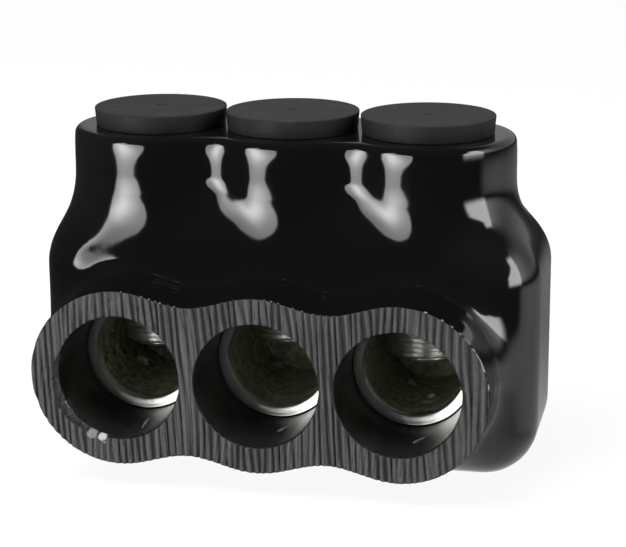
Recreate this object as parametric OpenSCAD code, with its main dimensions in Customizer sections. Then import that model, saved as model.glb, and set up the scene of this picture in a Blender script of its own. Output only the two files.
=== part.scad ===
// Insulated multi-tap connector: a drilled aluminium block in a thick dipped jacket. The wires enter
// the row of sleeves at the front (-Y) and one hex-socket set screw under each top cap clamps each wire.
// Millimetres, +Z up, origin on the base, below the middle of the row of screws.

/* [Ports] */
// Number of wire ports in the row
port_count = 3; // [2:1:5]
// Distance from one port axis to the next
port_pitch = 25.4; // [25:0.2:32]
// Height of the port axes above the base
port_height = 20.6; // [19.5:0.1:23]
// Radius of the conductor bores in the block
bore_r = 9.2; // [8.4:0.1:9.8]
// Full-width depth of the conductor bores
bore_depth = 23; // [22.5:0.25:24.5]
// Point angle of the drill that ends the bores
bore_point_angle = 140; // [130:1:170]
// Width of the chamfer at each bore's mouth
bore_chamfer = 1.4; // [0.5:0.1:2]

/* [Block] */
// Metal beyond the last port axis, at each end of the block
block_end = 15.6; // [14:0.2:20]
// Depth of the block, front to rear
block_depth = 28.6; // [27.4:0.2:34]
// Height of the block
block_height = 37.2; // [34:0.1:42]
// Chamfer along the block's long edges
block_chamfer = 4; // [3.6:0.2:6]

/* [Set screws] */
// Radius over the screw's thread
screw_r = 7.94; // [6.4:0.02:8.2]
// Length of the set screw
screw_length = 16; // [13:0.5:18]
// Radial running clearance of the screw in its hole
screw_clearance = 0.06; // [0.02:0.01:0.1]
// Chamfer at both ends of the screw
screw_chamfer = 1; // [0.4:0.1:1.4]
// Width across the flats of the hex socket
hex_width = 7.94; // [6:0.02:9]
// Depth of the hex socket
hex_depth = 7; // [4.5:0.5:10]
// Reach of the screws' tips into the conductor bores
screw_dip = 10.4; // [6:0.1:11.5]
// How much higher the middle screw stands
middle_rise = 2; // [0:0.1:4]

/* [Jacket] */
// Coat over the ends of the block
end_coat = 5.4; // [5:0.1:8]
// Coat over the front and rear of the block
face_coat = 3.5; // [3.3:0.1:6]
// Coat under the block
base_coat = 4.6; // [4:0.1:6]
// Coat over the block's top, beside the collars
top_coat = 4.2; // [4:0.1:7]
// Roundness of the coat's outer edges
edge_round = 10; // [7:0.5:10.5]
// Sideways lean of the dipped coat over the block
coat_lean = 1.2; // [0:0.1:1.4]
// Inside radius of the wire sleeves
sleeve_bore_r = 11.3; // [10.5:0.1:11.8]
// Wall of the wire sleeves
sleeve_wall = 4.9; // [3:0.1:6]
// Reach of the wire sleeves in front of the block
sleeve_reach = 17; // [12:0.5:24]
// Inside radius of the screw wells
well_r = 10.6; // [9.4:0.1:11.6]
// Wall of the collars round the screw wells
collar_wall = 5.7; // [3:0.1:7]
// Height of the collars above the block
collar_height = 19.4; // [16:0.1:24]
// Rounding of the collars' top rim
rim_round = 1.8; // [0.6:0.1:2.5]
// Blend between neighbouring lobes of the row
lobe_blend = 10.4; // [4:0.2:13]
// Blend between the sleeves and the body
sleeve_blend = 5; // [2:0.5:8]
// Blend between the collars and the body
collar_blend = 7; // [2:0.5:10]
// Length over which the collars fade into the body's front and rear
collar_fade = 12; // [4:0.5:16]

/* [Caps] */
// Radius of the cap's disc, at its top
cap_r = 12.4; // [11.8:0.1:12.4]
// Height of the disc above the collar
cap_proud = 3.4; // [2.6:0.1:6]
// How much narrower the disc is where it meets the collar
cap_draft = 0.3; // [0:0.05:0.5]
// Thickness of the disc over the hollow plug
cap_skin = 2.4; // [1.2:0.1:3.5]
// Depth of the plug in the well
plug_depth = 7; // [4:0.5:9]
// Wall of the hollow plug
plug_wall = 1.8; // [1.2:0.1:2.6]
// Radial clearance of the plug in the well
plug_clearance = 0.1; // [0.05:0.01:0.3]
// Chamfer round the disc and the plug's tip
cap_chamfer = 0.5; // [0.2:0.1:0.8]

/* [Hidden] */
$fn = 96;

jacket_colour = [0.04, 0.04, 0.045];
cap_colour = [0.15, 0.15, 0.16];
metal_colour = [0.76, 0.77, 0.78];
overrun = 1; // how far a cutter passes a face that it opens

port_x = [for (i = [0:port_count - 1]) (i - (port_count - 1) / 2) * port_pitch];
row_half = port_x[port_count - 1];
block_half = row_half + block_end;
block_front = -block_depth / 2;
block_top = base_coat + block_height;
face_y = block_front - sleeve_reach;
collar_top = block_top + collar_height;
sleeve_r = sleeve_bore_r + sleeve_wall;
collar_r = well_r + collar_wall;
plug_r = well_r - plug_clearance;
middle_screw = floor(port_count / 2);
function screw_tip(i) = port_height + bore_r - screw_dip + (i == middle_screw ? middle_rise : 0);

// The coat's outer surface is where a distance worked out from simple forms is zero. A smooth minimum
// joins two forms with the soft fillet that thick liquid leaves where they meet.
function soft_join(a, b, blend) =
    let (near = max(blend - abs(a - b), 0)) min(a, b) - near * near / (4 * blend);
function soft_cut(a, b, blend) = -soft_join(-a, -b, blend);
function soft_join_all(d, blend, i = 0) =
    i == len(d) - 1 ? d[i] : soft_join(d[i], soft_join_all(d, blend, i + 1), blend);

// Distance from a row of round lobes of radius r, one at each port; v is measured across the row.
function row_distance(x, v, r) = soft_join_all([for (px = port_x) norm([x - px, v])], lobe_blend) - r;

// Distance from the coated body: a box over the block, with round edges and corners. Its underside
// lies a little below the base, which then cuts it flat.
base_cut = 0.4;
body_low = [coat_lean - block_half - end_coat, block_front - face_coat, -base_cut];
body_high = [coat_lean + block_half + end_coat, -block_front + face_coat, block_top + top_coat];
body_middle = (body_low + body_high) / 2;
body_core = (body_high - body_low) / 2 - [edge_round, edge_round, edge_round];
function body_distance(p) =
    let (q = [for (i = [0:2]) abs(p[i] - body_middle[i]) - body_core[i]])
    norm([for (v = q) max(v, 0)]) + min(max(q), 0) - edge_round;

// The sleeves run forward from the screws' plane and the collars run up from the body's shoulder.
shoulder_z = body_high[2] - collar_blend;
function sleeve_distance(p) = max(row_distance(p[0], p[2] - port_height, sleeve_r), p[1]);
function collar_distance(p) =
    let (inset = row_distance(p[0], p[1], collar_r) + rim_round, rise = p[2] - collar_top + rim_round)
    soft_cut(norm([max(inset, 0), max(rise, 0)]) + min(max(inset, rise), 0) - rim_round,
             shoulder_z - p[2], collar_fade);
function coat_distance(p) =
    max(soft_join(soft_join(body_distance(p), sleeve_distance(p), sleeve_blend),
                  collar_distance(p), collar_blend), -p[2]);

// The coat is lofted through section planes that turn about the line where the cut face's plane meets
// the plane of the collar tops, from the face (0 degrees) to the tops (90 degrees).
section_angles = concat([0, 4, 8], [for (a = [10:2:84]) a], [86, 87.4, 88.6, 89.4, 90]);
section_count = len(section_angles);
face_core = collar_top - port_height; // from that line to the row of axes, in the face
top_core = -face_y;                   // and in the plane of the tops
core_bulge = 8.5;                     // how far the core bows out to keep to the middle of the coat
function core_radius(a) = face_core + (top_core - face_core) * a / 90 + core_bulge * sin(2 * a);
function section_point(a, x, r) = [x, face_y + r * sin(a), collar_top - r * cos(a)];

// Each section is measured along rays from the core line: straight across it between the end ports,
// and in a fan round each end port. A ray is its start along the row and its direction in the plane.
steps_per_pitch = 9;
row_steps = steps_per_pitch * (port_count - 1);
fan_steps = 22;
fan_gather = 6; // degrees by which the fan's rays draw together towards the body's corners
function fan_angle(i) = i * 180 / fan_steps + fan_gather * sin(i * 720 / fan_steps);
rays = concat(
    [for (i = [0:row_steps]) [-row_half + i * 2 * row_half / row_steps, 0, 1]],
    [for (i = [1:fan_steps - 1]) let (f = fan_angle(i)) [row_half, sin(f), cos(f)]],
    [for (i = [0:row_steps]) [row_half - i * 2 * row_half / row_steps, 0, -1]],
    [for (i = [1:fan_steps - 1]) let (f = fan_angle(i)) [-row_half, -sin(f), -cos(f)]]);
ray_count = len(rays);
function along(ray, a, t) = section_point(a, ray[0] + t * ray[1], core_radius(a) + t * ray[2]);

// The last section lies in the plane of the tops, where the rim's rounding has ended.
function ray_distance(ray, a, t) =
    let (p = along(ray, a, t)) a == 90 ? row_distance(p[0], p[1], collar_r) + rim_round : coat_distance(p);
halvings = 20;
function crossing(ray, a, low, high, left = halvings) =
    left == 0 ? (low + high) / 2
    : let (middle = (low + high) / 2)
      ray_distance(ray, a, middle) < 0 ? crossing(ray, a, middle, high, left - 1)
                                       : crossing(ray, a, low, middle, left - 1);
on_base = 0.002; // a point of the loft this near the base is put exactly on it
function grounded(p) = abs(p[2]) < on_base ? [p[0], p[1], 0] : p;

// Column of the core line from which a ray starts, for closing the face and the tops.
function column(j) =
    j <= row_steps ? j
    : j <= row_steps + fan_steps ? row_steps
    : j <= 2 * row_steps + fan_steps ? 2 * row_steps + fan_steps - j
    : 0;

module coat_form() {
    farthest = face_core + top_core;
    rings = [for (a = section_angles, ray = rays) grounded(along(ray, a, crossing(ray, a, 0, farthest)))];
    cores = [for (a = [0, 90], i = [0:row_steps])
        section_point(a, -row_half + i * 2 * row_half / row_steps, core_radius(a))];
    face_cores = len(rings);
    top_cores = face_cores + row_steps + 1;
    last = (section_count - 1) * ray_count;
    walls = [for (s = [0:section_count - 2], j = [0:ray_count - 1])
        let (k = (j + 1) % ray_count, a = s * ray_count, b = a + ray_count)
        each [[a + j, b + j, b + k], [a + j, b + k, a + k]]];
    closings = [for (j = [0:ray_count - 1])
        let (k = (j + 1) % ray_count, m = column(j), n = column(k))
        each [[j, k, face_cores + m], if (m != n) [k, face_cores + n, face_cores + m],
              [last + k, last + j, top_cores + m], if (m != n) [last + k, top_cores + m, top_cores + n]]];
    polyhedron(concat(rings, cores), concat(walls, closings));
}

// The block's outer form, which is also the hollow that it fills in the jacket.
module block_form() {
    c = block_chamfer;
    y = block_depth / 2;
    translate([-block_half, 0, 0]) rotate([90, 0, 90]) linear_extrude(2 * block_half)
        polygon([[-y + c, base_coat], [y - c, base_coat], [y, base_coat + c], [y, block_top - c],
                 [y - c, block_top], [-y + c, block_top], [-y, block_top - c], [-y, base_coat + c]]);
}

// A round hole along +Y from the plane y, at height z in the block's row.
module forward_hole(x, y, r, depth) {
    translate([x, y, port_height]) rotate([-90, 0, 0]) cylinder(r = r, h = depth);
}

module jacket() {
    color(jacket_colour) difference() {
        coat_form();
        block_form();
        for (x = port_x) {
            forward_hole(x, face_y - overrun, sleeve_bore_r, sleeve_reach + 2 * overrun);
            translate([x, 0, block_top - overrun]) cylinder(r = well_r, h = collar_height + 2 * overrun);
        }
    }
}

// One conductor bore as a turned cutter: chamfered mouth, straight wall and drill point.
module conductor_bore() {
    point = bore_r / tan(bore_point_angle / 2);
    rotate([-90, 0, 0]) rotate_extrude()
        polygon([[0, -overrun], [bore_r + bore_chamfer + overrun, -overrun], [bore_r, bore_chamfer],
                 [bore_r, bore_depth], [0, bore_depth + point]]);
}

module connector_block() {
    color(metal_colour) difference() {
        block_form();
        for (x = port_x) {
            translate([x, block_front, port_height]) conductor_bore();
            translate([x, 0, port_height])
                cylinder(r = screw_r + screw_clearance, h = block_top - port_height + overrun);
        }
    }
}

module set_screw(i) {
    c = screw_chamfer;
    color(metal_colour) translate([port_x[i], 0, screw_tip(i)]) difference() {
        rotate_extrude()
            polygon([[0, 0], [screw_r - c, 0], [screw_r, c], [screw_r, screw_length - c],
                     [screw_r - c, screw_length], [0, screw_length]]);
        translate([0, 0, screw_length - hex_depth])
            cylinder(d = hex_width / cos(30), h = hex_depth + overrun, $fn = 6);
    }
}

module screw_cap(x) {
    c = cap_chamfer;
    color(cap_colour) translate([x, 0, collar_top]) rotate_extrude()
        polygon([[0, cap_proud - cap_skin], [plug_r - plug_wall, cap_proud - cap_skin],
                 [plug_r - plug_wall, -plug_depth], [plug_r - c, -plug_depth], [plug_r, c - plug_depth],
                 [plug_r, 0], [cap_r - cap_draft, 0], [cap_r, cap_proud - c], [cap_r - c, cap_proud], [0, cap_proud]]);
}

jacket();
connector_block();
for (i = [1:port_count]) {
    set_screw(i - 1);
    screw_cap(port_x[i - 1]);
}
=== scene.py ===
import math

import bmesh
import bpy
import numpy as np
from mathutils import Matrix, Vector
from mathutils.geometry import tessellate_polygon


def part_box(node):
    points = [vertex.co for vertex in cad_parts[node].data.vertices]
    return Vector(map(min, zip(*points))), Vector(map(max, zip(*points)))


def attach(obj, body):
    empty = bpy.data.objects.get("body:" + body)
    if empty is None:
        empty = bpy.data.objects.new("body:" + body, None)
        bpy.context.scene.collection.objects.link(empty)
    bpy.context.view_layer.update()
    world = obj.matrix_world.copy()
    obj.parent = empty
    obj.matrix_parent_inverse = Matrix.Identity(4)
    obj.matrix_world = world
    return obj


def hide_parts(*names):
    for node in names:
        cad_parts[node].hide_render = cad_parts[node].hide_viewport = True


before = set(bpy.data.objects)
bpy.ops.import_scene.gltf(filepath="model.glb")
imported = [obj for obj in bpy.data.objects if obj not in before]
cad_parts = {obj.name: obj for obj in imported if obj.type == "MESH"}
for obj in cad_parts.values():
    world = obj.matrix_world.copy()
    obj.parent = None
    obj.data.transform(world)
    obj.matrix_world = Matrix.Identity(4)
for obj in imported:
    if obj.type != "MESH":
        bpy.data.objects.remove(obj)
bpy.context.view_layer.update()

# Camera. The place, lens and slight roll of the photographer's camera, fitted to the sleeve holes, the
# caps, the bore mouths and the outline: low and a little to the right, 376 mm away with a long lens.

MM = 0.001
azimuth, elevation, roll, distance = 0.2197, 0.26174, -0.00603, 376.01
target = np.array([3.64, 0.0, 33.33])
FOCAL_PIXELS, PHOTO_WIDTH = 1992.3, 626


def add_object(name, data):
    """A new object with this data, linked to the scene."""
    made = bpy.data.objects.new(name, data)
    bpy.context.scene.collection.objects.link(made)
    return made


def standing(x_axis, y_axis, z_axis, origin):
    """Matrix of an object whose axes point along the first three and whose origin is the last, in metres."""
    pose = np.eye(4)
    pose[:3] = np.stack([x_axis, y_axis, z_axis, origin], 1)
    return Matrix(pose.tolist())


back = np.array([math.sin(azimuth) * math.cos(elevation), -math.cos(azimuth) * math.cos(elevation),
                 math.sin(elevation)])
right = np.array([math.cos(azimuth), math.sin(azimuth), 0.0])
up = np.cross(back, right)
right, up = right * math.cos(roll) + up * math.sin(roll), up * math.cos(roll) - right * math.sin(roll)

camera = add_object("camera", bpy.data.cameras.new("camera"))
camera.matrix_world = standing(right, up, back, (target + back * distance) * MM)
camera.data.sensor_fit = "HORIZONTAL"
camera.data.sensor_width = 36.0
camera.data.lens = FOCAL_PIXELS / PHOTO_WIDTH * 36.0
camera.data.clip_start = 0.02
bpy.context.scene.camera = camera


# Jacket. The real one is a thick coat of black vinyl plastisol, dipped over the block in one piece and
# cured glossy. Its front is sawn off flat, which leaves a dull ribbed face round the three wire
# sleeves, and the three collars on top hold the caps.


def extent(node):
    """Lowest and highest corner of a CAD node, in millimetres."""
    return (np.array(v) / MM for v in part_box(node))


coat_low, coat_high = extent("jacket")
block_low, block_high = extent("connector_block")
FACE_Y, COLLAR_TOP, FRONT_Y, BLOCK_HALF = coat_low[1], coat_high[2], block_low[1], block_high[0]
BASE_COAT, BLOCK_TOP, INNER_CHAMFER, PORT_Z, PITCH = block_low[2], block_high[2], 3.6, 20.6, 25.4
SLEEVE_BORE, SLEEVE_R, WELL_R, COLLAR_R, RIM = 11.3, 16.2, 10.6, 16.3, 1.2
LOBE_BLEND, SLEEVE_BLEND, COLLAR_BLEND, COLLAR_FADE = 10.4, 5.0, 7.0, 12.0
TOP_COAT, BASE_CUT, EDGE_ROUND = 4.2, 0.4, 10.0
LEAN, LEAN_Z, LEAN_FADE = 0.3, 54.5, 9.0
VALLEY_HIGH, VALLEY_LOW, VALLEY_Z, VALLEY_FADE = 8.0, 11.5, 54.0, 10.0
BODY_LOW = np.array([coat_low[0], -coat_high[1], -BASE_CUT])
BODY_HIGH = np.array([coat_high[0], coat_high[1], BLOCK_TOP + TOP_COAT])
SHOULDER_Z = BODY_HIGH[2] - COLLAR_BLEND
port_x = np.array([-PITCH, 0.0, PITCH])


def soft_join(a, b, blend):
    """Smooth minimum: where |a - b| < blend it dips below min(a, b) by (blend - |a - b|)^2 / (4 blend)."""
    near = np.maximum(blend - np.abs(a - b), 0)
    return np.minimum(a, b) - near * near / (4 * blend)


def row_distance(x, v, r, blend):
    """Distance from three round lobes of radius r on the port axes, joined softly."""
    d = [np.hypot(x - px, v) for px in port_x]
    return soft_join(d[0], soft_join(d[1], d[2], blend), blend) - r


def ease(v, a, b):
    """Smooth step of v, from 0 at a to 1 at b."""
    t = np.clip((v - a) / (b - a), 0, 1)
    return t * t * (3 - 2 * t)


def collar_inset(x, y, z):
    """Distance outside the collars' walls, set in by RIM. The walls lean a little, as a coat that ran down
    leaves them: LEAN further in at the rim, and as much further out from LEAN_FADE below LEAN_Z down. The
    valleys between the collars are sharp above VALLEY_Z and fuller from VALLEY_FADE below it down."""
    valley = VALLEY_HIGH + (VALLEY_LOW - VALLEY_HIGH) * ease(-z, -VALLEY_Z, VALLEY_FADE - VALLEY_Z)
    lean = (LEAN * np.clip((z - LEAN_Z) / (COLLAR_TOP - LEAN_Z), 0, 1) ** 4
            - LEAN * ease(-z, -LEAN_Z, LEAN_FADE - LEAN_Z))
    return row_distance(x, y, COLLAR_R, valley) + RIM + lean


def coat_distance(x, y, z):
    """Distance outside the coat, and negative inside it: a round-edged box over the block, joined softly
    with the row of sleeves that runs forward and with the row of collars that runs up, and cut flat at the
    base."""
    middle, core = (BODY_LOW + BODY_HIGH) / 2, (BODY_HIGH - BODY_LOW) / 2 - EDGE_ROUND
    q = [np.abs(v - m) - c for v, m, c in zip((x, y, z), middle, core)]
    corner = np.sqrt(sum(np.maximum(v, 0) ** 2 for v in q))
    body = corner + np.minimum(np.maximum(np.maximum(*q[:2]), q[2]), 0) - EDGE_ROUND
    sleeve = np.maximum(row_distance(x, z - PORT_Z, SLEEVE_R, LOBE_BLEND), y)
    inset, rise = collar_inset(x, y, z), z - COLLAR_TOP + RIM
    rim = np.hypot(np.maximum(inset, 0), np.maximum(rise, 0)) + np.minimum(np.maximum(inset, rise), 0) - RIM
    collar = -soft_join(-rim, z - SHOULDER_Z, COLLAR_FADE)
    return np.maximum(soft_join(soft_join(body, sleeve, SLEEVE_BLEND), collar, COLLAR_BLEND), -z)


ROW_SQUEEZE, FAN_SQUEEZE = 0.6, 6.0


def ring_rays(row, fan):
    """Rays of one section as (start along the row, share along the row, share across it): row steps along
    the far side, a half fan round the last port, row steps back along the near side, a half fan round the
    first. A sine draws the steps together, in the row towards the valleys, in a fan towards its diagonals."""
    i = np.arange(1, fan)
    turn = np.radians(i * 180 / fan + FAN_SQUEEZE * np.sin(np.radians(i * 720 / fan)))
    s = np.linspace(-1, 1, row + 1)
    xs = PITCH * (s + ROW_SQUEEZE * np.sin(2 * math.pi * s) / (2 * math.pi))
    ones, zeros = np.ones(row + 1), np.zeros(row + 1)
    return np.concatenate([
        np.stack([xs, zeros, ones], 1),
        np.stack([PITCH + 0 * turn, np.sin(turn), np.cos(turn)], 1),
        np.stack([xs[::-1], zeros, -ones], 1),
        np.stack([-PITCH + 0 * turn, -np.sin(turn), -np.cos(turn)], 1)])


# Distance of the rays' starts from the line that the sections turn about, at the face and at the top,
# and how far it bulges between them.
FACE_CORE, TOP_CORE, CORE_BULGE = COLLAR_TOP - PORT_Z, -FACE_Y, 8.5


def coat_rings(degrees, rays, distance=coat_distance):
    """Points where each ray leaves the coat, in section planes that turn by the given degrees about the
    line where the cut face's plane meets that of the collar tops. Found by 32 halvings of the ray."""
    a = np.radians(np.asarray(degrees, float))[:, None]
    core = FACE_CORE + (TOP_CORE - FACE_CORE) * a / (math.pi / 2) + CORE_BULGE * np.sin(2 * a)
    low, high = np.zeros((len(a), len(rays))), np.full((len(a), len(rays)), FACE_CORE + TOP_CORE)

    def at(t):
        """The x, y and z of the rays' points at the distance t from their starts."""
        x, r = rays[:, 0] + t * rays[:, 1], core + t * rays[:, 2]
        return x + 0 * a, FACE_Y + r * np.sin(a), COLLAR_TOP - r * np.cos(a)

    for _ in range(32):
        middle = (low + high) / 2
        inside = distance(*at(middle)) < 0
        low, high = np.where(inside, middle, low), np.where(inside, high, middle)
    return np.stack(at((low + high) / 2), -1)


def drift(u, v, seed):
    """Smooth noise from 0 to 1: random values on a whole-number lattice, eased between."""
    table = np.random.default_rng(seed).random((64, 64))
    i, j = np.floor(u).astype(int), np.floor(v).astype(int)
    s, t = ease(u - i, 0, 1), ease(v - j, 0, 1)
    a, b = table[i % 64, j % 64], table[(i + 1) % 64, j % 64]
    c, d = table[i % 64, (j + 1) % 64], table[(i + 1) % 64, (j + 1) % 64]
    return (a * (1 - s) + b * s) * (1 - t) + (c * (1 - s) + d * s) * t


RIB_PITCH, RIB_DEPTH = 1.27, 0.38


def rib_depth(x, z):
    """Depth of the saw's ribs below the cut face. The ribs stand RIB_PITCH apart, lean a little and wander
    sideways by two drifts. The width and depth of their grooves drift too, over finer grooves and grit."""
    lean = x + 0.05 * (z - PORT_Z)
    phase = (lean + drift(x / 1.7, z / 14, 11) + 1.8 * drift(x / 8 + 5, z / 26 + 3, 12)) / RIB_PITCH
    groove = 1 - np.abs(np.sin(math.pi * phase)) ** (0.35 + 0.5 * drift(x / 1.9, z / 12, 16))
    fine = 1 - np.abs(np.sin(math.pi * (1.7 * phase + 2.5 * drift(x / 3, z / 14, 15)))) ** 0.5
    deep = 0.35 + 1.3 * drift(x / 1.6, z / 13, 13) ** 1.3
    return RIB_DEPTH * np.clip(groove * deep + 0.45 * fine + 0.12 * drift(x / 0.4, z / 0.6, 14), 0, 1)


def columns(row, fan, gap):
    """The inner boundary of a band round the holes, left to right, with the steps of half a section and gap
    of them in each gap: which hole each column belongs to (-1 in a gap), its angle round that hole, and for
    a gap its place along the row."""
    quarter, end = (row // 2 - gap) // 2, fan // 2
    hole, angle, place = [], [], []

    def arc(p, first, last, steps, skip):
        """Adds even steps of angle round hole p, in degrees, less the first skip of them."""
        turn = np.linspace(first, last, steps + 1)[skip:]
        hole.extend([p] * len(turn))
        angle.extend(np.radians(turn))
        place.extend([0.0] * len(turn))

    arc(0, 180, 90, end, 0)
    for p in (0, 1):
        arc(p, 90, 0, quarter, 1)
        share = np.linspace(0, 1, gap + 1)[1:-1] - 0.5
        hole.extend([-1] * len(share))
        angle.extend([0.0] * len(share))
        place.extend(port_x[p] + PITCH / 2 + share)
        arc(p + 1, 180, 90, quarter, 0)
    arc(2, 90, 0, end, 1)
    return np.array(hole), np.array(angle), np.array(place)


def bands(outer, radius, row, fan, gap, rows):
    """Flat cells between the holes and the outline. outer is (lower, upper), each a row of (x, h) points left
    to right, and radius(hole, angle) is the hole's edge. Returns two grids of (x, h), and the angles of each
    hole's loop."""
    hole, angle, place = columns(row, fan, gap)
    middle_r = radius(np.ones(1, int), np.zeros(1))[0]
    gap_x = np.round((place - PITCH / 2) / PITCH) * PITCH + PITCH / 2
    along = gap_x + (place - gap_x) * (PITCH - 2 * middle_r)
    share = np.linspace(0, 1, rows + 1)[:, None, None]
    grids = []
    for side, rim in zip((-1, 1), outer):
        a = side * angle
        r = radius(hole, a)
        x = np.where(hole < 0, along, port_x[np.maximum(hole, 0)] + r * np.cos(a))
        h = np.where(hole < 0, 0.0, r * np.sin(a))
        grids.append(np.stack([x, h], 1) * (1 - share) + rim * share)
    loops = []
    for p in range(3):
        upper = angle[hole == p]
        loops.append(np.concatenate([upper, -upper[::-1][1:-1]]))
    return grids, loops


# Points closer than this, in metres, are welded.
WELD = 1e-6


class Shell:
    """Gathers grids and loops, in millimetres, into one mesh: its points, its faces and the material number
    of each face."""

    def __init__(self):
        self.points, self.faces, self.kinds, self.count = [], [], [], 0

    def add(self, points):
        """Adds points and returns the first one's index."""
        points = np.asarray(points, float).reshape(-1, 3)
        self.points.append(points)
        self.count += len(points)
        return self.count - len(points)

    def grid(self, points, kind=0, wrap=False):
        """Quads over a (rows, columns, 3) grid, closed across its last column if wrap is set. kind is one
        material number or one per quad. Returns the points' indices as a grid."""
        rows, cols = points.shape[:2]
        index = self.add(points) + np.arange(rows * cols).reshape(rows, cols)
        if wrap:
            index = np.concatenate([index, index[:, :1]], 1)
        quads = np.stack([index[:-1, :-1], index[:-1, 1:], index[1:, 1:], index[1:, :-1]], -1).reshape(-1, 4)
        self.faces += quads.tolist()
        self.kinds += np.broadcast_to(kind, (rows - 1, index.shape[1] - 1)).ravel().tolist()
        return index

    def face(self, loop, kind=0):
        """One face through the points with these indices."""
        self.faces.append([int(i) for i in loop])
        self.kinds.append(kind)

    def build(self, name, sharp, materials):
        """The finished piece, welded, smooth but for edges over sharp degrees, with its outside outwards."""
        mesh = bpy.data.meshes.new(name)
        mesh.from_pydata((np.concatenate(self.points) * MM).tolist(), [], self.faces)
        mesh.polygons.foreach_set("material_index", np.array(self.kinds, np.int32))
        work = bmesh.new()
        work.from_mesh(mesh)
        bmesh.ops.remove_doubles(work, verts=work.verts, dist=WELD)
        bmesh.ops.dissolve_degenerate(work, edges=work.edges, dist=WELD)
        bmesh.ops.recalc_face_normals(work, faces=work.faces)
        work.to_mesh(mesh)
        work.free()
        mesh.polygons.foreach_set("use_smooth", np.ones(len(mesh.polygons), bool))
        mesh.set_sharp_from_angle(angle=math.radians(sharp))
        for m in materials:
            mesh.materials.append(m)
        return add_object(name, mesh)


class Wire:
    """An output socket of a node tree. Arithmetic on it adds Math nodes, and node() adds any other node."""

    def __init__(self, tree, socket=None):
        self.tree, self.socket = tree, socket

    def node(self, kind, settings=None, links=None, out=0):
        """Adds a node: its settings first, then a value or a Wire for each input, by name or number."""
        made = self.tree.nodes.new(kind)
        for key, value in (settings or {}).items():
            setattr(made, key, value)
        for key, value in (links or {}).items():
            if isinstance(value, Wire):
                self.tree.links.new(value.socket, made.inputs[key])
            else:
                made.inputs[key].default_value = value
        return Wire(self.tree, made.outputs[out])

    def maths(self, operation, a, b=0.0, clamp=False):
        """One Math node on a and b, held between 0 and 1 if clamp is set."""
        return self.node("ShaderNodeMath", {"operation": operation, "use_clamp": clamp}, {0: a, 1: b})

    def __add__(self, other):
        return self.maths("ADD", self, other)

    def __radd__(self, other):
        return self.maths("ADD", other, self)

    def __sub__(self, other):
        return self.maths("SUBTRACT", self, other)

    def __rsub__(self, other):
        return self.maths("SUBTRACT", other, self)

    def __mul__(self, other):
        return self.maths("MULTIPLY", self, other)

    def __rmul__(self, other):
        return self.maths("MULTIPLY", other, self)

    def __truediv__(self, other):
        return self.maths("DIVIDE", self, other)

    def __rtruediv__(self, other):
        return self.maths("DIVIDE", other, self)

    def power(self, p):
        """This to the power p."""
        return self.maths("POWER", self, p)

    def of(self, operation):
        """A Math function of this alone, such as SINE or ROUND."""
        return self.node("ShaderNodeMath", {"operation": operation}, {0: self})

    def clamp(self):
        """This held between 0 and 1."""
        return self.maths("ADD", self, 0.0, clamp=True)

    def parts(self):
        """The x, y and z of this vector."""
        return [self.node("ShaderNodeSeparateXYZ", {}, {0: self}, k) for k in range(3)]

    def ramp(self, low, high, to_low=0.0, to_high=1.0):
        """Maps low..high to to_low..to_high with a smooth step, held beyond both ends."""
        ends = {0: self, 1: low, 2: high, 3: to_low, 4: to_high}
        return self.node("ShaderNodeMapRange", {"interpolation_type": "SMOOTHSTEP"}, ends)

    def noise(self, scale, detail=2.0, roughness=0.5, stretch=(1, 1, 1)):
        """Noise at this position, whose features are about 1 / scale metres."""
        place = self.node("ShaderNodeVectorMath", {"operation": "MULTIPLY"}, {0: self, 1: stretch})
        kind = {"Vector": place, "Scale": scale, "Detail": detail, "Roughness": roughness}
        return self.node("ShaderNodeTexNoise", {}, kind)

    def mix(self, a, b):
        """Colour mixed from a to b by this factor."""
        return self.node("ShaderNodeMix", {"data_type": "RGBA"}, {0: self, 6: a, 7: b}, 2)

    def bump(self, distance, strength=1.0, normal=None):
        """Normal for a surface raised by this height, where 1 stands for distance metres."""
        links = {"Height": self, "Distance": distance, "Strength": strength}
        if normal:
            links["Normal"] = normal
        return self.node("ShaderNodeBump", {}, links)


def material(name, **constants):
    """A Principled material with the given constant inputs. Returns it, a Wire of Object coordinates, and a
    function that links a Wire to one of the shader's inputs."""
    made = bpy.data.materials.new(name)
    made.use_nodes = True
    tree = made.node_tree
    shader = tree.nodes["Principled BSDF"]
    for key, value in constants.items():
        shader.inputs[key.replace("_", " ").title().replace("Ior", "IOR")].default_value = value
    place = Wire(tree).node("ShaderNodeTexCoord", {}, {}, "Object")

    def link(key, wire):
        """Links a Wire to this input of the shader."""
        tree.links.new(wire.socket, shader.inputs[key])

    return made, place, link


def grey(v):
    """A grey of this value, as a colour."""
    return (v, v, v, 1.0)


# The dipped gloss: near-black, very slightly uneven as thick liquid cures, with a few dust specks.
vinyl, place, link = material("dipped_vinyl", roughness=0.13)
specks = place.node("ShaderNodeTexVoronoi", {"feature": "F1"},
                    {"Vector": place, "Scale": 95.0, "Randomness": 1.0})
speck_size = place.noise(40.0).ramp(0.5, 0.75, 0.0, 0.03)
dust = (speck_size - specks).ramp(0.0, 0.008)
smudge = place.noise(22.0, 4.0, 0.6).ramp(0.45, 0.75)
link("Base Color", dust.mix(smudge.mix(grey(0.0030), grey(0.0055)), grey(0.30)))
link("Roughness", smudge * 0.05 + 0.06 + dust * 0.5)
link("Normal", place.noise(55.0, 2.0, 0.4).bump(0.0006, 0.1, place.noise(700.0, 2.0).bump(0.00003, 0.1)))

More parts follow.
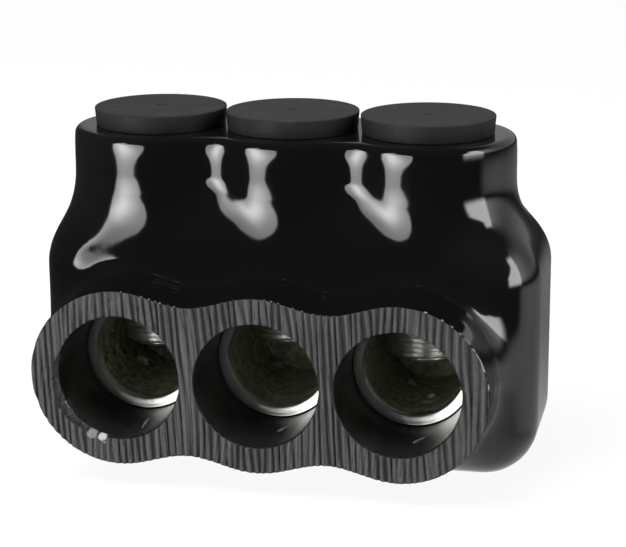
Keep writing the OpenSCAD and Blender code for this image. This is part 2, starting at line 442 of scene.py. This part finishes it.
# The cut vinyl: dull, its ridges scuffed paler and its grooves darkened with painted shade. Torn burrs under
# the first sleeve are painted pale as their highlights, each given by its x and z, half width, half height
# and tone.
BURR_HIGHLIGHTS = ((-28.6, 9.25, 0.95, 0.75, 0.36), (-30.5, 9.75, 1.15, 0.95, 0.16), (-28.2, 8.3, 0.4, 0.3, 0.13))
cut_vinyl, place, link = material("cut_vinyl", roughness=0.62)
px, py, pz = place.parts()
deep = (py - FACE_Y * MM) / (RIB_DEPTH * MM)
grain = place.noise(2600.0, 3.0, 0.6, (1, 1, 0.35))
patch = place.noise(160.0, 3.0, 0.55)
# Ridges paler than grooves: partly scuffing, and partly painted shade that darkens the grooves.
ridge_scuff_groove_shade = deep.ramp(0.7, 0.0) + deep.ramp(1.1, 1.6) * grain.ramp(0.4, 0.7) * 0.8
tone = (ridge_scuff_groove_shade * 0.85 + grain * 0.35 + patch * 0.35 - 0.35).clamp().mix(grey(0.005), grey(0.062))
# Each burr's pale patch is a painted highlight on the torn flap.
for x, z, wide, tall, pale in BURR_HIGHLIGHTS:
    off_x, off_z = (px - x * MM) / (wide * MM), (pz - z * MM) / (tall * MM)
    tone = (1 - off_x * off_x - off_z * off_z + (grain - 0.5) * 0.8).ramp(0.0, 0.6).mix(tone, grey(pale))
link("Base Color", tone)
link("Roughness", 0.68 - ridge_scuff_groove_shade * 0.12)
link("Normal", (grain + place.noise(900.0, 3.0) * 1.5).bump(0.00006, 0.7))

# Inside the sleeves: the same coat, cast against the dipping plugs, with fine lengthwise rubbing.
lining, place, link = material("sleeve_lining", roughness=0.2)
rub = place.noise(420.0, 3.0, 0.6, (1, 0.12, 1))
link("Base Color", rub.ramp(0.5, 0.8).mix(grey(0.009), grey(0.020)))
link("Roughness", rub * 0.16 + 0.14)
link("Normal", (rub + place.noise(1800.0, 2.0) * 0.4).bump(0.00008, 0.35))

# The same coat on its small runs, coloured pale as a painted highlight: the glints on these ridges.
run_glint_paint, place, link = material("painted_run_glints", roughness=0.35)
link("Base Color", place.noise(1500.0, 2.0).ramp(0.35, 0.65).mix(grey(0.08), grey(0.26)))

# The coat's walls: sections from the cut face at 0 degrees to the collar tops at 90, closest near the
# collars' rims. The outline of the cut face has FINE steps to each step of the walls.
COAT, CUT, LINING, RUN = range(4)
ROW_STEPS, FAN_STEPS, FINE = 112, 60, 4
fine_rays, rays = ring_rays(FINE * ROW_STEPS, FINE * FAN_STEPS), ring_rays(ROW_STEPS, FAN_STEPS)
sections = np.concatenate([np.linspace(1.5, 30, 24), np.linspace(30, 82, 76)[1:], np.linspace(82, 88, 19)[1:],
                           np.linspace(88, 90, 12)[1:]])
outline = coat_rings([0.0], fine_rays)[0]
walls = coat_rings(sections[:-1], rays)
top_ring = coat_rings([90.0], rays, collar_inset)

jacket = Shell()
coarse_ring = jacket.grid(np.concatenate([walls, top_ring]), COAT, wrap=True)[0]


def halves(ring, row, fan):
    """The far and the near half of a section's ring of points, each from left to right."""
    first, half = row + 1, fan // 2
    left = first + (fan - 1) + first
    far = np.concatenate([left + np.arange(half, fan) - 1, np.arange(first),
                          first + np.arange(1, half + 1) - 1])
    near = np.concatenate([left + np.arange(half, 0, -1) - 1, first + fan - 1 + np.arange(row, -1, -1),
                           first + np.arange(fan - 1, half - 1, -1) - 1])
    return ring[far], ring[near]


TORN_AT, TORN_HALF = 212, 52


def nick(hole, angle):
    """Extra radius of a hole's torn front edge: 0.22 to 0.28 mm everywhere, and up to 1.6 mm more at the
    lower left of the first sleeve, TORN_HALF degrees to each side of TORN_AT, where the saw left a ragged
    bevel."""
    turn = np.degrees(angle) % 360
    swell = np.clip(1 - np.abs((turn - TORN_AT) / TORN_HALF), 0, 1) ** 0.6
    ragged = 1.1 + 0.5 * drift(turn / 7, 0 * turn, 21) - 0.35 * drift(turn / 2.2, 0 * turn, 22)
    return 0.22 + np.where(hole == 0, swell * ragged, 0) + 0.06 * drift(turn / 3, hole + 0.5, 23)


def face_point(x, h):
    """The ribbed cut face at x along the row and h above the port axes."""
    return np.stack([x, FACE_Y + rib_depth(x, h + PORT_Z), h + PORT_Z], -1)


FACE_EDGE = 0.16
outwards = np.stack([fine_rays[:, 1], -fine_rays[:, 2]], 1)
rim_xh = np.stack([outline[:, 0], outline[:, 2] - PORT_Z], 1) - outwards * FACE_EDGE
lower, upper = halves(rim_xh, FINE * ROW_STEPS, FINE * FAN_STEPS)
grids, loops = bands((lower, upper), lambda hole, a: SLEEVE_BORE + nick(hole, a), FINE * ROW_STEPS,
                     FINE * FAN_STEPS, 28, 18)
for g in grids:
    jacket.grid(face_point(g[..., 0], g[..., 1]), CUT)

# The face's outer edge: a small chamfer from the bands' rim to the outline, and from there on to the
# first section of the coat.
rim_points = face_point(rim_xh[:, 0], rim_xh[:, 1])
edge_points = np.stack([outline[:, 0], rim_points[:, 1] + FACE_EDGE, outline[:, 2]], 1)
edge_index = jacket.grid(np.stack([rim_points, edge_points]), COAT, wrap=True)
for k in range(len(rays)):
    fine = [edge_index[1, FINE * k + i] for i in range(FINE + 1)]
    jacket.face([coarse_ring[k], coarse_ring[k + 1]] + fine[::-1], COAT)

# Sleeve linings, from the torn edge back to the block's face, where the coat has a fillet of FOOT.
FOOT = 0.35
depths = np.array([0, 0.06, 0.2, 0.5, 1.0, 1.6, 3.0, 6.0, 10.0, 14.0, 16.65, 16.75, 16.85, 16.95, 17.0])
front_loops = []
for p, loop in enumerate(loops):
    extra = nick(np.full(len(loop), p), loop)
    reach = 0.2 + 0.8 * extra
    d = depths[:, None]
    foot = FOOT * np.clip((d - depths[-1]) / FOOT + 1, 0, 1) ** 2
    r = SLEEVE_BORE + extra * np.clip(1 - d / reach, 0, 1) ** 1.5 - foot
    x, h = port_x[p] + r * np.cos(loop), r * np.sin(loop)
    y = FACE_Y + d + rib_depth(x[0], h[0] + PORT_Z) * np.clip(1 - d / 1.6, 0, 1)
    torn = (extra > 0.42) & (depths[1:, None] < 1.3) | (depths[1:, None] < 0.25)
    index = jacket.grid(np.stack([x, y, h + PORT_Z], -1), np.where(torn, CUT, LINING), wrap=True)
    front_loops.append(index[-1, :-1])


def ball(centre, half, along=(1, 0, 0)):
    """An ellipsoid, its longitude across the grid and its latitude down it. half holds its half sizes along
    the given level direction, across that and upwards."""
    u, v = np.meshgrid(np.linspace(0, 2 * math.pi, 24, endpoint=False), np.linspace(0, math.pi, 14))
    x, z = np.array(along, float), np.array([0.0, 0.0, 1.0])
    local = [half[0] * np.cos(u) * np.sin(v), half[1] * np.sin(u) * np.sin(v), half[2] * np.cos(v)]
    axes = (x, np.cross(z, x), z)
    return np.array(centre, float) + sum(part[..., None] * axis for part, axis in zip(local, axes))


# Small runs of the coat on the sleeves' floors, lying lengthwise, given by the x and y of their ends.
RUN_HALF = 0.3
RUNS = (((-22.66, -26.03), (-22.91, -20.24)), ((1.99, -23.29), (3.8, -19.87)),
        ((27.04, -23.95), (29.01, -20.59)))
for ends in RUNS:
    start, end = np.array(ends)
    middle, length = (start + end) / 2, np.linalg.norm(end - start)
    along = (end - start) / length
    off = middle[0] - port_x[np.abs(port_x - middle[0]).argmin()]
    floor_z = PORT_Z - math.sqrt(SLEEVE_BORE ** 2 - off ** 2)
    run = ball((*middle, floor_z), (length / 2, RUN_HALF, RUN_HALF), (*along, 0))
    # The runs take the pale painted-highlight material.
    jacket.grid(run, RUN, wrap=True)

# Collar tops and screw wells, from the rim of each collar down to the block's top.
WELL_EDGE = 0.3
lower, upper = halves(top_ring[0][:, :2], ROW_STEPS, FAN_STEPS)
grids, loops = bands((upper, lower), lambda hole, a: WELL_R + WELL_EDGE + 0 * a, ROW_STEPS, FAN_STEPS, 10, 6)
for g in grids:
    jacket.grid(np.concatenate([g, np.full(g.shape[:2] + (1,), COLLAR_TOP)], -1), COAT)
well_loops = []
for p, loop in enumerate(loops):
    d = np.array([0, 0.03, 0.1, 0.3, 2, 6, 12, COLLAR_TOP - BLOCK_TOP])[:, None]
    r = WELL_R + WELL_EDGE * np.clip(1 - d / WELL_EDGE, 0, 1) ** 2
    x, y = port_x[p] + r * np.cos(loop), r * np.sin(loop)
    index = jacket.grid(np.stack([x, y, COLLAR_TOP - d + 0 * x], -1), LINING, wrap=True)
    well_loops.append(index[-1, :-1])

# The hollow that the block fills: a prism of eight sides, whose front and top are drawn round the holes.
FRONT_SIDE, TOP_SIDE = 0, 2
c, inner_y = INNER_CHAMFER, -FRONT_Y
profile = [(-inner_y, BASE_COAT + c), (-inner_y, BLOCK_TOP - c), (-inner_y + c, BLOCK_TOP),
           (inner_y - c, BLOCK_TOP), (inner_y, BLOCK_TOP - c), (inner_y, BASE_COAT + c),
           (inner_y - c, BASE_COAT), (-inner_y + c, BASE_COAT)]
left_end = jacket.add([(-BLOCK_HALF, y, z) for y, z in profile])
right_end = jacket.add([(BLOCK_HALF, y, z) for y, z in profile])
jacket.face([left_end + k for k in range(8)], LINING)
jacket.face([right_end + k for k in range(8)], LINING)
for k in range(8):
    corners = [left_end + k, left_end + (k + 1) % 8, right_end + (k + 1) % 8, right_end + k]
    if k not in (FRONT_SIDE, TOP_SIDE):
        jacket.face(corners, LINING)
        continue
    inside, seen = (front_loops, [0, 2]) if k == FRONT_SIDE else (well_loops, [0, 1])
    points = np.concatenate(jacket.points)[:, seen]
    every = [corners] + [[int(i) for i in loop] for loop in inside]
    order = [i for loop in every for i in loop]
    flat = [[(*points[i], 0.0) for i in loop] for loop in every]
    for triangle in tessellate_polygon(flat):
        jacket.face([order[i] for i in triangle], LINING)

piece = jacket.build("dipped_jacket", 42, (vinyl, cut_vinyl, lining, run_glint_paint))
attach(piece, "housing")
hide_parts("jacket")


# Connector block. The real one is sawn from extruded aluminium bar, drilled from the front for the
# conductors and tapped from above for the screws, then tin plated. Its CAD mesh is shown as it is.

TOOL_MARK = 0.3
plated, place, link = material("plated_aluminium", metallic=1.0)
px, py, pz = place.parts()
from_axis = px - (px / (PITCH * MM)).of("ROUND") * (PITCH * MM)
radius = (from_axis * from_axis + (pz - PORT_Z * MM) * (pz - PORT_Z * MM)).power(0.5)
rings = (radius * (2 * math.pi / (TOOL_MARK * MM)) + place.noise(500.0) * 5).of("SINE")
bloom = place.noise(300.0, 4.0, 0.6)
link("Base Color", bloom.ramp(0.35, 0.75).mix((0.86, 0.86, 0.81, 1), (0.66, 0.66, 0.62, 1)))
link("Roughness", bloom * 0.12 + 0.30)
link("Normal", (rings * 0.6 + place.noise(1500.0, 3.0, 0.6, (0.2, 1, 1))).bump(0.00003, 0.45))
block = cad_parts["connector_block"]
block.data.materials.clear()
block.data.materials.append(plated)

# The chamfer of each bore's mouth, as worked: a countersink of LIP_TILT, rolled round into the bore by
# LIP_ROLL, on a thin ring that covers the block's own chamfer and reaches LIP_SKIN into its metal.
BORE_R, BORE_DEPTH, CHAMFER = 9.2, 23.0, 1.4
LIP_TILT, LIP_ROLL, LIP_SKIN, LIP_PROUD, LIP_BACK = math.radians(13), 0.9, 0.04, 0.03, 0.02
LIP_OUTER, COUNTERSINK_R, LIP_REACH = 11.2, 10.95, 0.3
fall = COUNTERSINK_R - BORE_R + LIP_SKIN - LIP_ROLL * (1 - math.sin(LIP_TILT))
sink = fall * math.tan(LIP_TILT) - LIP_PROUD
turn = np.linspace(LIP_TILT, math.pi / 2, 12)
rolled = zip(BORE_R - LIP_SKIN + LIP_ROLL * (1 - np.sin(turn)),
             LIP_ROLL * (math.cos(LIP_TILT) - np.cos(turn)) + sink)
path = np.array([
    (LIP_OUTER, LIP_BACK), (LIP_OUTER, -LIP_PROUD), (COUNTERSINK_R, -LIP_PROUD), *rolled,
    (BORE_R - LIP_SKIN, CHAMFER + LIP_REACH), (BORE_R + LIP_SKIN, CHAMFER + LIP_REACH),
    (BORE_R + LIP_SKIN, CHAMFER), (BORE_R + CHAMFER + LIP_SKIN, LIP_BACK), (LIP_OUTER, LIP_BACK)])
theta = np.linspace(0, 2 * math.pi, 180, endpoint=False)
for p in range(3):
    lip = Shell()
    lip.grid(np.stack([port_x[p] + path[:, :1] * np.cos(theta), FRONT_Y + path[:, 1:] + 0 * theta,
                       PORT_Z + path[:, :1] * np.sin(theta)], -1), wrap=True)
    piece = lip.build(f"bore_lip_{p + 1}", 30, (plated,))
    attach(piece, "housing")


# Port compound. The makers fill the bores with a dark oxide-inhibiting grease, which clings to the
# lower walls and the drilled ends in a thin lumpy film with small bright glints.

grease, place, link = material("port_compound", roughness=0.18, specular_ior_level=0.6)
lumps = place.noise(900.0, 4.0, 0.65)
px = place.parts()[0]
# Paler towards the right of each bore and darker to its left: painted light and shade, mixed half and half
# with the lumps' own tone.
side = (px - (px / (PITCH * MM)).of("ROUND") * (PITCH * MM)).ramp(-7 * MM, 6 * MM)
dark, pale = (0.07, 0.075, 0.038, 1), (0.66, 0.70, 0.48, 1)
link("Base Color", (lumps.ramp(0.3, 0.8) * 0.5 + side * 0.5).mix(dark, pale))
link("Normal", (lumps + place.noise(330.0, 2.0) * 2).bump(0.0004, 0.9))

# Lumps of the compound in each port, given by their centres and half sizes.
LUMPS = ((((-31.3, 1.0, 13.5), (1.9, 0.7, 1.3)), ((-30.3, 4.2, 12.8), (0.6, 0.5, 0.4))),
         (((-5.4, 12.0, 13.2), (0.9, 0.6, 0.8)), ((-4.9, 6.0, 12.8), (1.3, 0.7, 1.0))),
         (((21.7, 11.5, 12.2), (0.7, 0.5, 0.6)), ((22.4, 1.7, 11.9), (0.8, 0.5, 1.0)),
          ((27.1, -3.6, 11.6), (0.9, 0.6, 0.8)), ((24.1, -5.8, 11.5), (0.5, 0.4, 0.4))))
POINT, FILM_START, FILM, FILM_COLS = math.radians(70), 1.9, 0.30, 110

# Along the film: from inside the mouth to the drill point. Across it: an arc round the bore's lower side.
y = np.concatenate([
    np.linspace(FRONT_Y + FILM_START, FRONT_Y + BORE_DEPTH, 50),
    FRONT_Y + BORE_DEPTH + np.linspace(0.1, 1, 14) ** 0.9 * (BORE_R - 0.4) / math.tan(POINT)])
wall = np.minimum(BORE_R, BORE_R - (y - FRONT_Y - BORE_DEPTH) * math.tan(POINT))
arc = np.radians(np.linspace(-215, 35, FILM_COLS))
thin_sides = np.sin(np.linspace(0, math.pi, FILM_COLS)) ** 0.5
for p in range(3):
    ragged = 14 * (drift(y / 2.2, 0 * y + p, 31) - 0.5)
    a = arc * (1 + np.radians(ragged)[:, None] * 0.15)
    thick = FILM * drift(a * 5 + p * 7, y[:, None] / 1.6, 32) * thin_sides
    thick = thick * np.clip((y - y[0]) / 1.5, 0, 1)[:, None] + 0.012
    hug = wall[:, None] + 0.03 + 0 * a
    free = np.maximum(wall[:, None] - thick, 0.05)
    loop_a = np.concatenate([a, a[:, ::-1]], 1)
    loop_r = np.concatenate([free, hug[:, ::-1]], 1)
    film = Shell()
    index = film.grid(np.stack([port_x[p] + loop_r * np.cos(loop_a), y[:, None] + 0 * loop_a,
                                PORT_Z + loop_r * np.sin(loop_a)], -1), wrap=True)
    film.face(index[0, :-1])
    film.face(index[-1, :-1][::-1])
    for centre, half in LUMPS[p]:
        film.grid(ball(centre, half), wrap=True)
    piece = film.build(f"port_compound_{p + 1}", 60, (grease,))
    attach(piece, "housing")


# Set screws. Each real one is turned from aluminium bar, threaded 28 to the inch over its whole length,
# chamfered at both ends, broached for a hex key from above and plated.

SCREW_R, THREAD, THREAD_DEPTH, HEX, HEX_DEPTH = 7.94, 25.4 / 28, 0.45, 7.94, 7.0
END_CHAMFER, HEX_EDGE = 1.0, 0.35

bright, place, link = material("plated_screw", metallic=1.0)
wear = place.noise(700.0, 4.0, 0.6)
link("Base Color", wear.ramp(0.35, 0.8).mix((0.82, 0.82, 0.78, 1), (0.60, 0.60, 0.57, 1)))
link("Roughness", wear * 0.15 + 0.30)
link("Normal", place.noise(1600.0, 3.0).bump(0.00003, 0.5))

theta = np.linspace(0, 2 * math.pi, 96, endpoint=False)
hexed = HEX / 2 / np.cos((theta % (math.pi / 3)) - math.pi / 6)
for p in range(3):
    low, high = extent(f"set_screw_{p + 1}")
    length = high[2] - low[2]
    up_z = np.linspace(0, length, 240)
    tooth = np.abs(((up_z[:, None] / THREAD - theta / (2 * math.pi)) % 1) - 0.5) * 2
    r = SCREW_R - THREAD_DEPTH * np.clip((tooth - 0.06) / 0.8, 0, 1)
    r = np.minimum(r, SCREW_R - END_CHAMFER + np.minimum(up_z, length - up_z)[:, None])
    floor_z = length - HEX_DEPTH
    # From the hollow tip up the thread, then down the hex socket to its drilled floor.
    radii = np.array([0 * theta, 0.5 + 0 * theta, 0.8 * r[0], *r, hexed + HEX_EDGE, hexed, hexed, hexed,
                      0.9 * hexed, 0 * theta])
    rise = np.array([0.35, 0.35, 0, *up_z, length, length - HEX_EDGE, floor_z + 3, floor_z, floor_z - 0.1,
                     floor_z - 1.4])[:, None] + 0 * theta
    screw = Shell()
    screw.grid(np.stack([port_x[p] + radii * np.cos(theta), radii * np.sin(theta), low[2] + rise], -1),
               wrap=True)
    piece = screw.build(f"threaded_screw_{p + 1}", 50, (bright,))
    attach(piece, f"screw_{p + 1}")
    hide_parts(f"set_screw_{p + 1}")


# Caps. Each real one is moulded in soft black vinyl, a disc with a hollow plug below it that is pushed
# into the collar. Its skin is satin with a fine grain and a small gate mark in the middle.

satin, place, link = material("satin_vinyl", roughness=0.5, specular_ior_level=0.1)
cloud = place.noise(120.0, 4.0, 0.6)
scuff = place.noise(260.0, 4.0, 0.65, (1, 1, 0.6)).ramp(0.56, 0.72)
link("Base Color", scuff.mix(cloud.ramp(0.3, 0.75).mix(grey(0.016), grey(0.022)), grey(0.032)))
link("Roughness", cloud * 0.12 + 0.44)
link("Normal", (place.noise(3500.0, 2.0) + place.noise(900.0, 2.0) * 1.2).bump(0.00004, 0.6))

cap_low, cap_high = extent("screw_cap_2")
CAP_R, CAP_PROUD, PLUG_DEPTH = cap_high[0], cap_high[2] - COLLAR_TOP, COLLAR_TOP - cap_low[2]
CAP_DRAFT, CAP_SKIN, PLUG_R, PLUG_WALL = 0.3, 2.4, 10.5, 1.8
GATE_R, GATE_FLOOR, CAP_FLAT = 0.9, CAP_PROUD - 0.18, CAP_PROUD - 0.03


def rounded(corners):
    """A path through (r, z, rounding) corners, each cut by a parabola that starts and ends at the distance
    of its rounding."""
    points, out = np.array(corners)[:, :2], []
    for k, (r, z, rounding) in enumerate(corners):
        if rounding == 0:
            out.append(points[k])
            continue
        a, b = points[k - 1] - points[k], points[k + 1] - points[k]
        a, b = a / np.linalg.norm(a), b / np.linalg.norm(b)
        for s in np.linspace(0, 1, 7):
            out.append(points[k] + a * rounding * (1 - s) ** 2 + b * rounding * s ** 2)
    return np.array(out)


path = rounded([
    (0, GATE_FLOOR, 0), (GATE_R, GATE_FLOOR, 0.08), (GATE_R + 0.25, CAP_FLAT, 0.1),
    (CAP_R - 1.2, CAP_FLAT, 0), (CAP_R, CAP_PROUD, 0.3), (CAP_R - CAP_DRAFT, 0.0, 0.2),
    (PLUG_R, 0.0, 0.1), (PLUG_R, -PLUG_DEPTH, 0.6),
    (PLUG_R - PLUG_WALL, -PLUG_DEPTH, 0.25), (PLUG_R - PLUG_WALL, CAP_PROUD - CAP_SKIN, 0.5),
    (0, CAP_PROUD - CAP_SKIN, 0)])
theta = np.linspace(0, 2 * math.pi, 160, endpoint=False)
for p in range(3):
    cap = Shell()
    cap.grid(np.stack([port_x[p] + path[:, :1] * np.cos(theta), path[:, :1] * np.sin(theta),
                       COLLAR_TOP + path[:, 1:] + 0 * theta], -1), wrap=True)
    piece = cap.build(f"moulded_cap_{p + 1}", 50, (satin,))
    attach(piece, f"cap_{p + 1}")
    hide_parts(f"screw_cap_{p + 1}")


# Floor and lights. The photo is a product shot on white. To judge by what the jacket's gloss shows, a
# large soft box stood at the front left and a smaller one at the right, over a white table in a dark room.

bpy.context.scene.view_settings.view_transform = "Standard"


def room_glow(az, el):
    """Radiance of the room in the direction az, el (degrees), as the jacket's gloss shows it: a dark room
    with the left soft box, hottest near (-38, -2), dying away upwards and to both sides, and narrowed above
    and below. The right soft box is a plain tall patch with a paler veil on its right. Below the horizon
    lies the white table. Each curve runs through its (el, value) knots and is rounded over 2.8 degrees. The
    knots were read off the reflections in the photo and then adjusted."""
    def curve(*knots):
        """Straight between its knots, and averaged over five places from el - 1.4 to el + 1.4."""
        at, value = zip(*knots)
        return sum(np.interp(el + d, at, value) for d in (-1.4, -0.7, 0, 0.7, 1.4)) / 5

    az = (az + 180) % 360 - 180
    left_edge = curve((-10.5, -45), (-7.5, -48), (-4.5, -51), (1, -50), (8, -47), (14, -45.5), (19, -43),
                      (26, -38), (32, -33))
    right_edge = curve((-17, -20), (-13, -25.5), (-10.5, -24.5), (-7.5, -16.5), (-4.5, -9), (0, -8),
                       (5, -13), (10, -22.5), (14, -28), (17, -33), (26, -34))
    plate = curve((-17, 13), (-13, 5.2), (-11, 4.6), (-6, 5.8), (2, 4.8), (9, 4.0), (14, 3.4), (26, 2.5))
    heat = curve((-11, 0.6), (-4.5, 10.4), (0, 10.0), (5, 6.2), (9, 3.6), (14, 3.8), (25, 5.5))
    middle = curve((-8, -34.5), (-4, -35.5), (1, -40.5), (9, -43.5), (19, -43.5), (26, -36.5))
    wide = np.where(az < middle, 7.0, curve((-4, 9.5), (2, 9.0), (9, 6.0), (12, 4.5)))
    left = plate + heat * np.exp(-((az - middle) / wide) ** 2 / 2)
    left = left * ease(az - left_edge, -1.2, 1.2) * ease(right_edge - az, -1.2, 1.2)
    left = left * ease(el, -24, -18) * ease(30 - el, 0, 4)
    edge = 53 + 0.75 * np.clip(el - 13, 0, 18)
    right = 9.0 * ease(az - edge, 0, 5) * ease(84 - az, -1.5, 1.5) * ease(el, -6, 3) * ease(44 - el, 0, 6)
    veil = 3.0 * np.exp(-np.maximum(az - 84, 0) / 22) * ease(az, 82, 85) * ease(el, -4, 6)
    veil = veil * ease(50 - el, 0, 20)
    table = 0.75 * ease(-el, 16, 22) * ease(np.abs(az), 30, 50) * (0.6 + 0.4 * ease(-el, 20, 45))
    beside = 0.95 * ease(az, 76, 90) * ease(-el, 3, 12) * ease(-el, 26, 14)
    table += beside * np.exp(-np.maximum(az - 105, 0) / 40)
    behind = np.where(az > 0, ease(az, 110, 150), ease(-az, 140, 165))
    return 0.04 + left + right + veil + table + 0.35 * behind * ease(el, 2, 8) * ease(60 - el, 0, 20)


# The room as a dome that only glossy rays see, with a closer mesh where the left soft box is.
ROOM_R, AIM_Z = 1.2, 0.03
across = np.concatenate([np.arange(-66, 0, 0.5), np.arange(0, 294, 1.5)])
upwards = np.concatenate([np.arange(-89.5, -20, 1.5), np.arange(-20, 36, 0.5), np.arange(36, 90, 1.5)])
az, el = np.meshgrid(across, upwards)
a, e = np.radians(az), np.radians(el)
dome = np.stack([np.sin(a) * np.cos(e), -np.cos(a) * np.cos(e), np.sin(e)], -1) * ROOM_R + [0, 0, AIM_Z]
index = np.arange(az.size).reshape(az.shape)
index = np.concatenate([index, index[:, :1]], 1)
quads = np.stack([index[:-1, :-1], index[1:, :-1], index[1:, 1:], index[:-1, 1:]], -1).reshape(-1, 4)
mesh = bpy.data.meshes.new("room_seen")
mesh.from_pydata(dome.reshape(-1, 3).tolist(), [], quads.tolist())
mesh.attributes.new("glow", "FLOAT", "POINT").data.foreach_set("value", room_glow(az, el).ravel())
light = bpy.data.materials.new("room_seen")
light.use_nodes = True
tree = light.node_tree
tree.nodes.clear()
glow = Wire(tree).node("ShaderNodeAttribute", {"attribute_name": "glow"}, {}, "Fac")
colour = glow.node("ShaderNodeVectorMath", {"operation": "SCALE"}, {0: (1, 1, 1), "Scale": glow})
shine = glow.node("ShaderNodeEmission", {}, {"Color": colour, "Strength": 1.0})
tree.links.new(shine.socket, tree.nodes.new("ShaderNodeOutputMaterial").inputs["Surface"])
mesh.materials.append(light)
room = add_object("room_seen", mesh)
room.visible_camera = room.visible_shadow = room.visible_transmission = room.visible_diffuse = False


def sees_white(wire):
    """1 for the rays that see the background as plain white: camera, glossy and transmission rays."""
    straight, glossy, through = [wire.node("ShaderNodeLightPath", {}, {}, f"Is {kind} Ray")
                                 for kind in ("Camera", "Glossy", "Transmission")]
    return (straight + glossy + through).clamp()


FLOOR_HALF = 3
floor = add_object("floor", bpy.data.meshes.new("floor"))
floor_corners = [(FLOOR_HALF * x, FLOOR_HALF * y, 0) for x, y in ((-1, -1), (1, -1), (1, 1), (-1, 1))]
floor.data.from_pydata(floor_corners, [], [[0, 1, 2, 3]])
paper, place, link = material("white_paper", roughness=0.9, base_color=grey(0.86))
tree = paper.node_tree
glow = place.node("ShaderNodeEmission", {}, {"Color": grey(1), "Strength": 1.0})
sheet = Wire(tree, tree.nodes["Principled BSDF"].outputs[0])
both = place.node("ShaderNodeMixShader", {}, {0: sees_white(place) * 0.93, 1: sheet, 2: glow})
tree.links.new(both.socket, tree.nodes["Material Output"].inputs["Surface"])
floor.data.materials.append(paper)
floor.visible_glossy = False

world = bpy.data.worlds.new("studio")
bpy.context.scene.world = world
world.use_nodes = True
tree = world.node_tree
tree.nodes.clear()
sky = Wire(tree)
walls_light = sky.node("ShaderNodeBackground", {}, {"Color": (1, 0.99, 0.975, 1), "Strength": 0.33})
white = sky.node("ShaderNodeBackground", {}, {"Color": grey(1), "Strength": 1.0})
both = sky.node("ShaderNodeMixShader", {}, {0: sees_white(sky), 1: walls_light, 2: white})
tree.links.new(both.socket, tree.nodes.new("ShaderNodeOutputWorld").inputs["Surface"])

# The lamp lights the object from the front left. What its gloss reflects is the dome above.
LAMP_AZ, LAMP_OUT, LAMP_Z = math.radians(-42), 0.45, 0.87
lamp = add_object("soft_box", bpy.data.lights.new("soft_box", "AREA"))
lamp.data.shape, lamp.data.size, lamp.data.size_y = "RECTANGLE", 0.5, 0.6
lamp.data.energy = 16.0
spot = np.array([math.sin(LAMP_AZ) * LAMP_OUT, -math.cos(LAMP_AZ) * LAMP_OUT, LAMP_Z])
z_axis = spot - [0, 0, AIM_Z]
z_axis = z_axis / np.linalg.norm(z_axis)
x_axis = np.cross([0, 0, 1], z_axis)
x_axis = x_axis / np.linalg.norm(x_axis)
lamp.matrix_world = standing(x_axis, np.cross(z_axis, x_axis), z_axis, spot)
lamp.visible_glossy = False
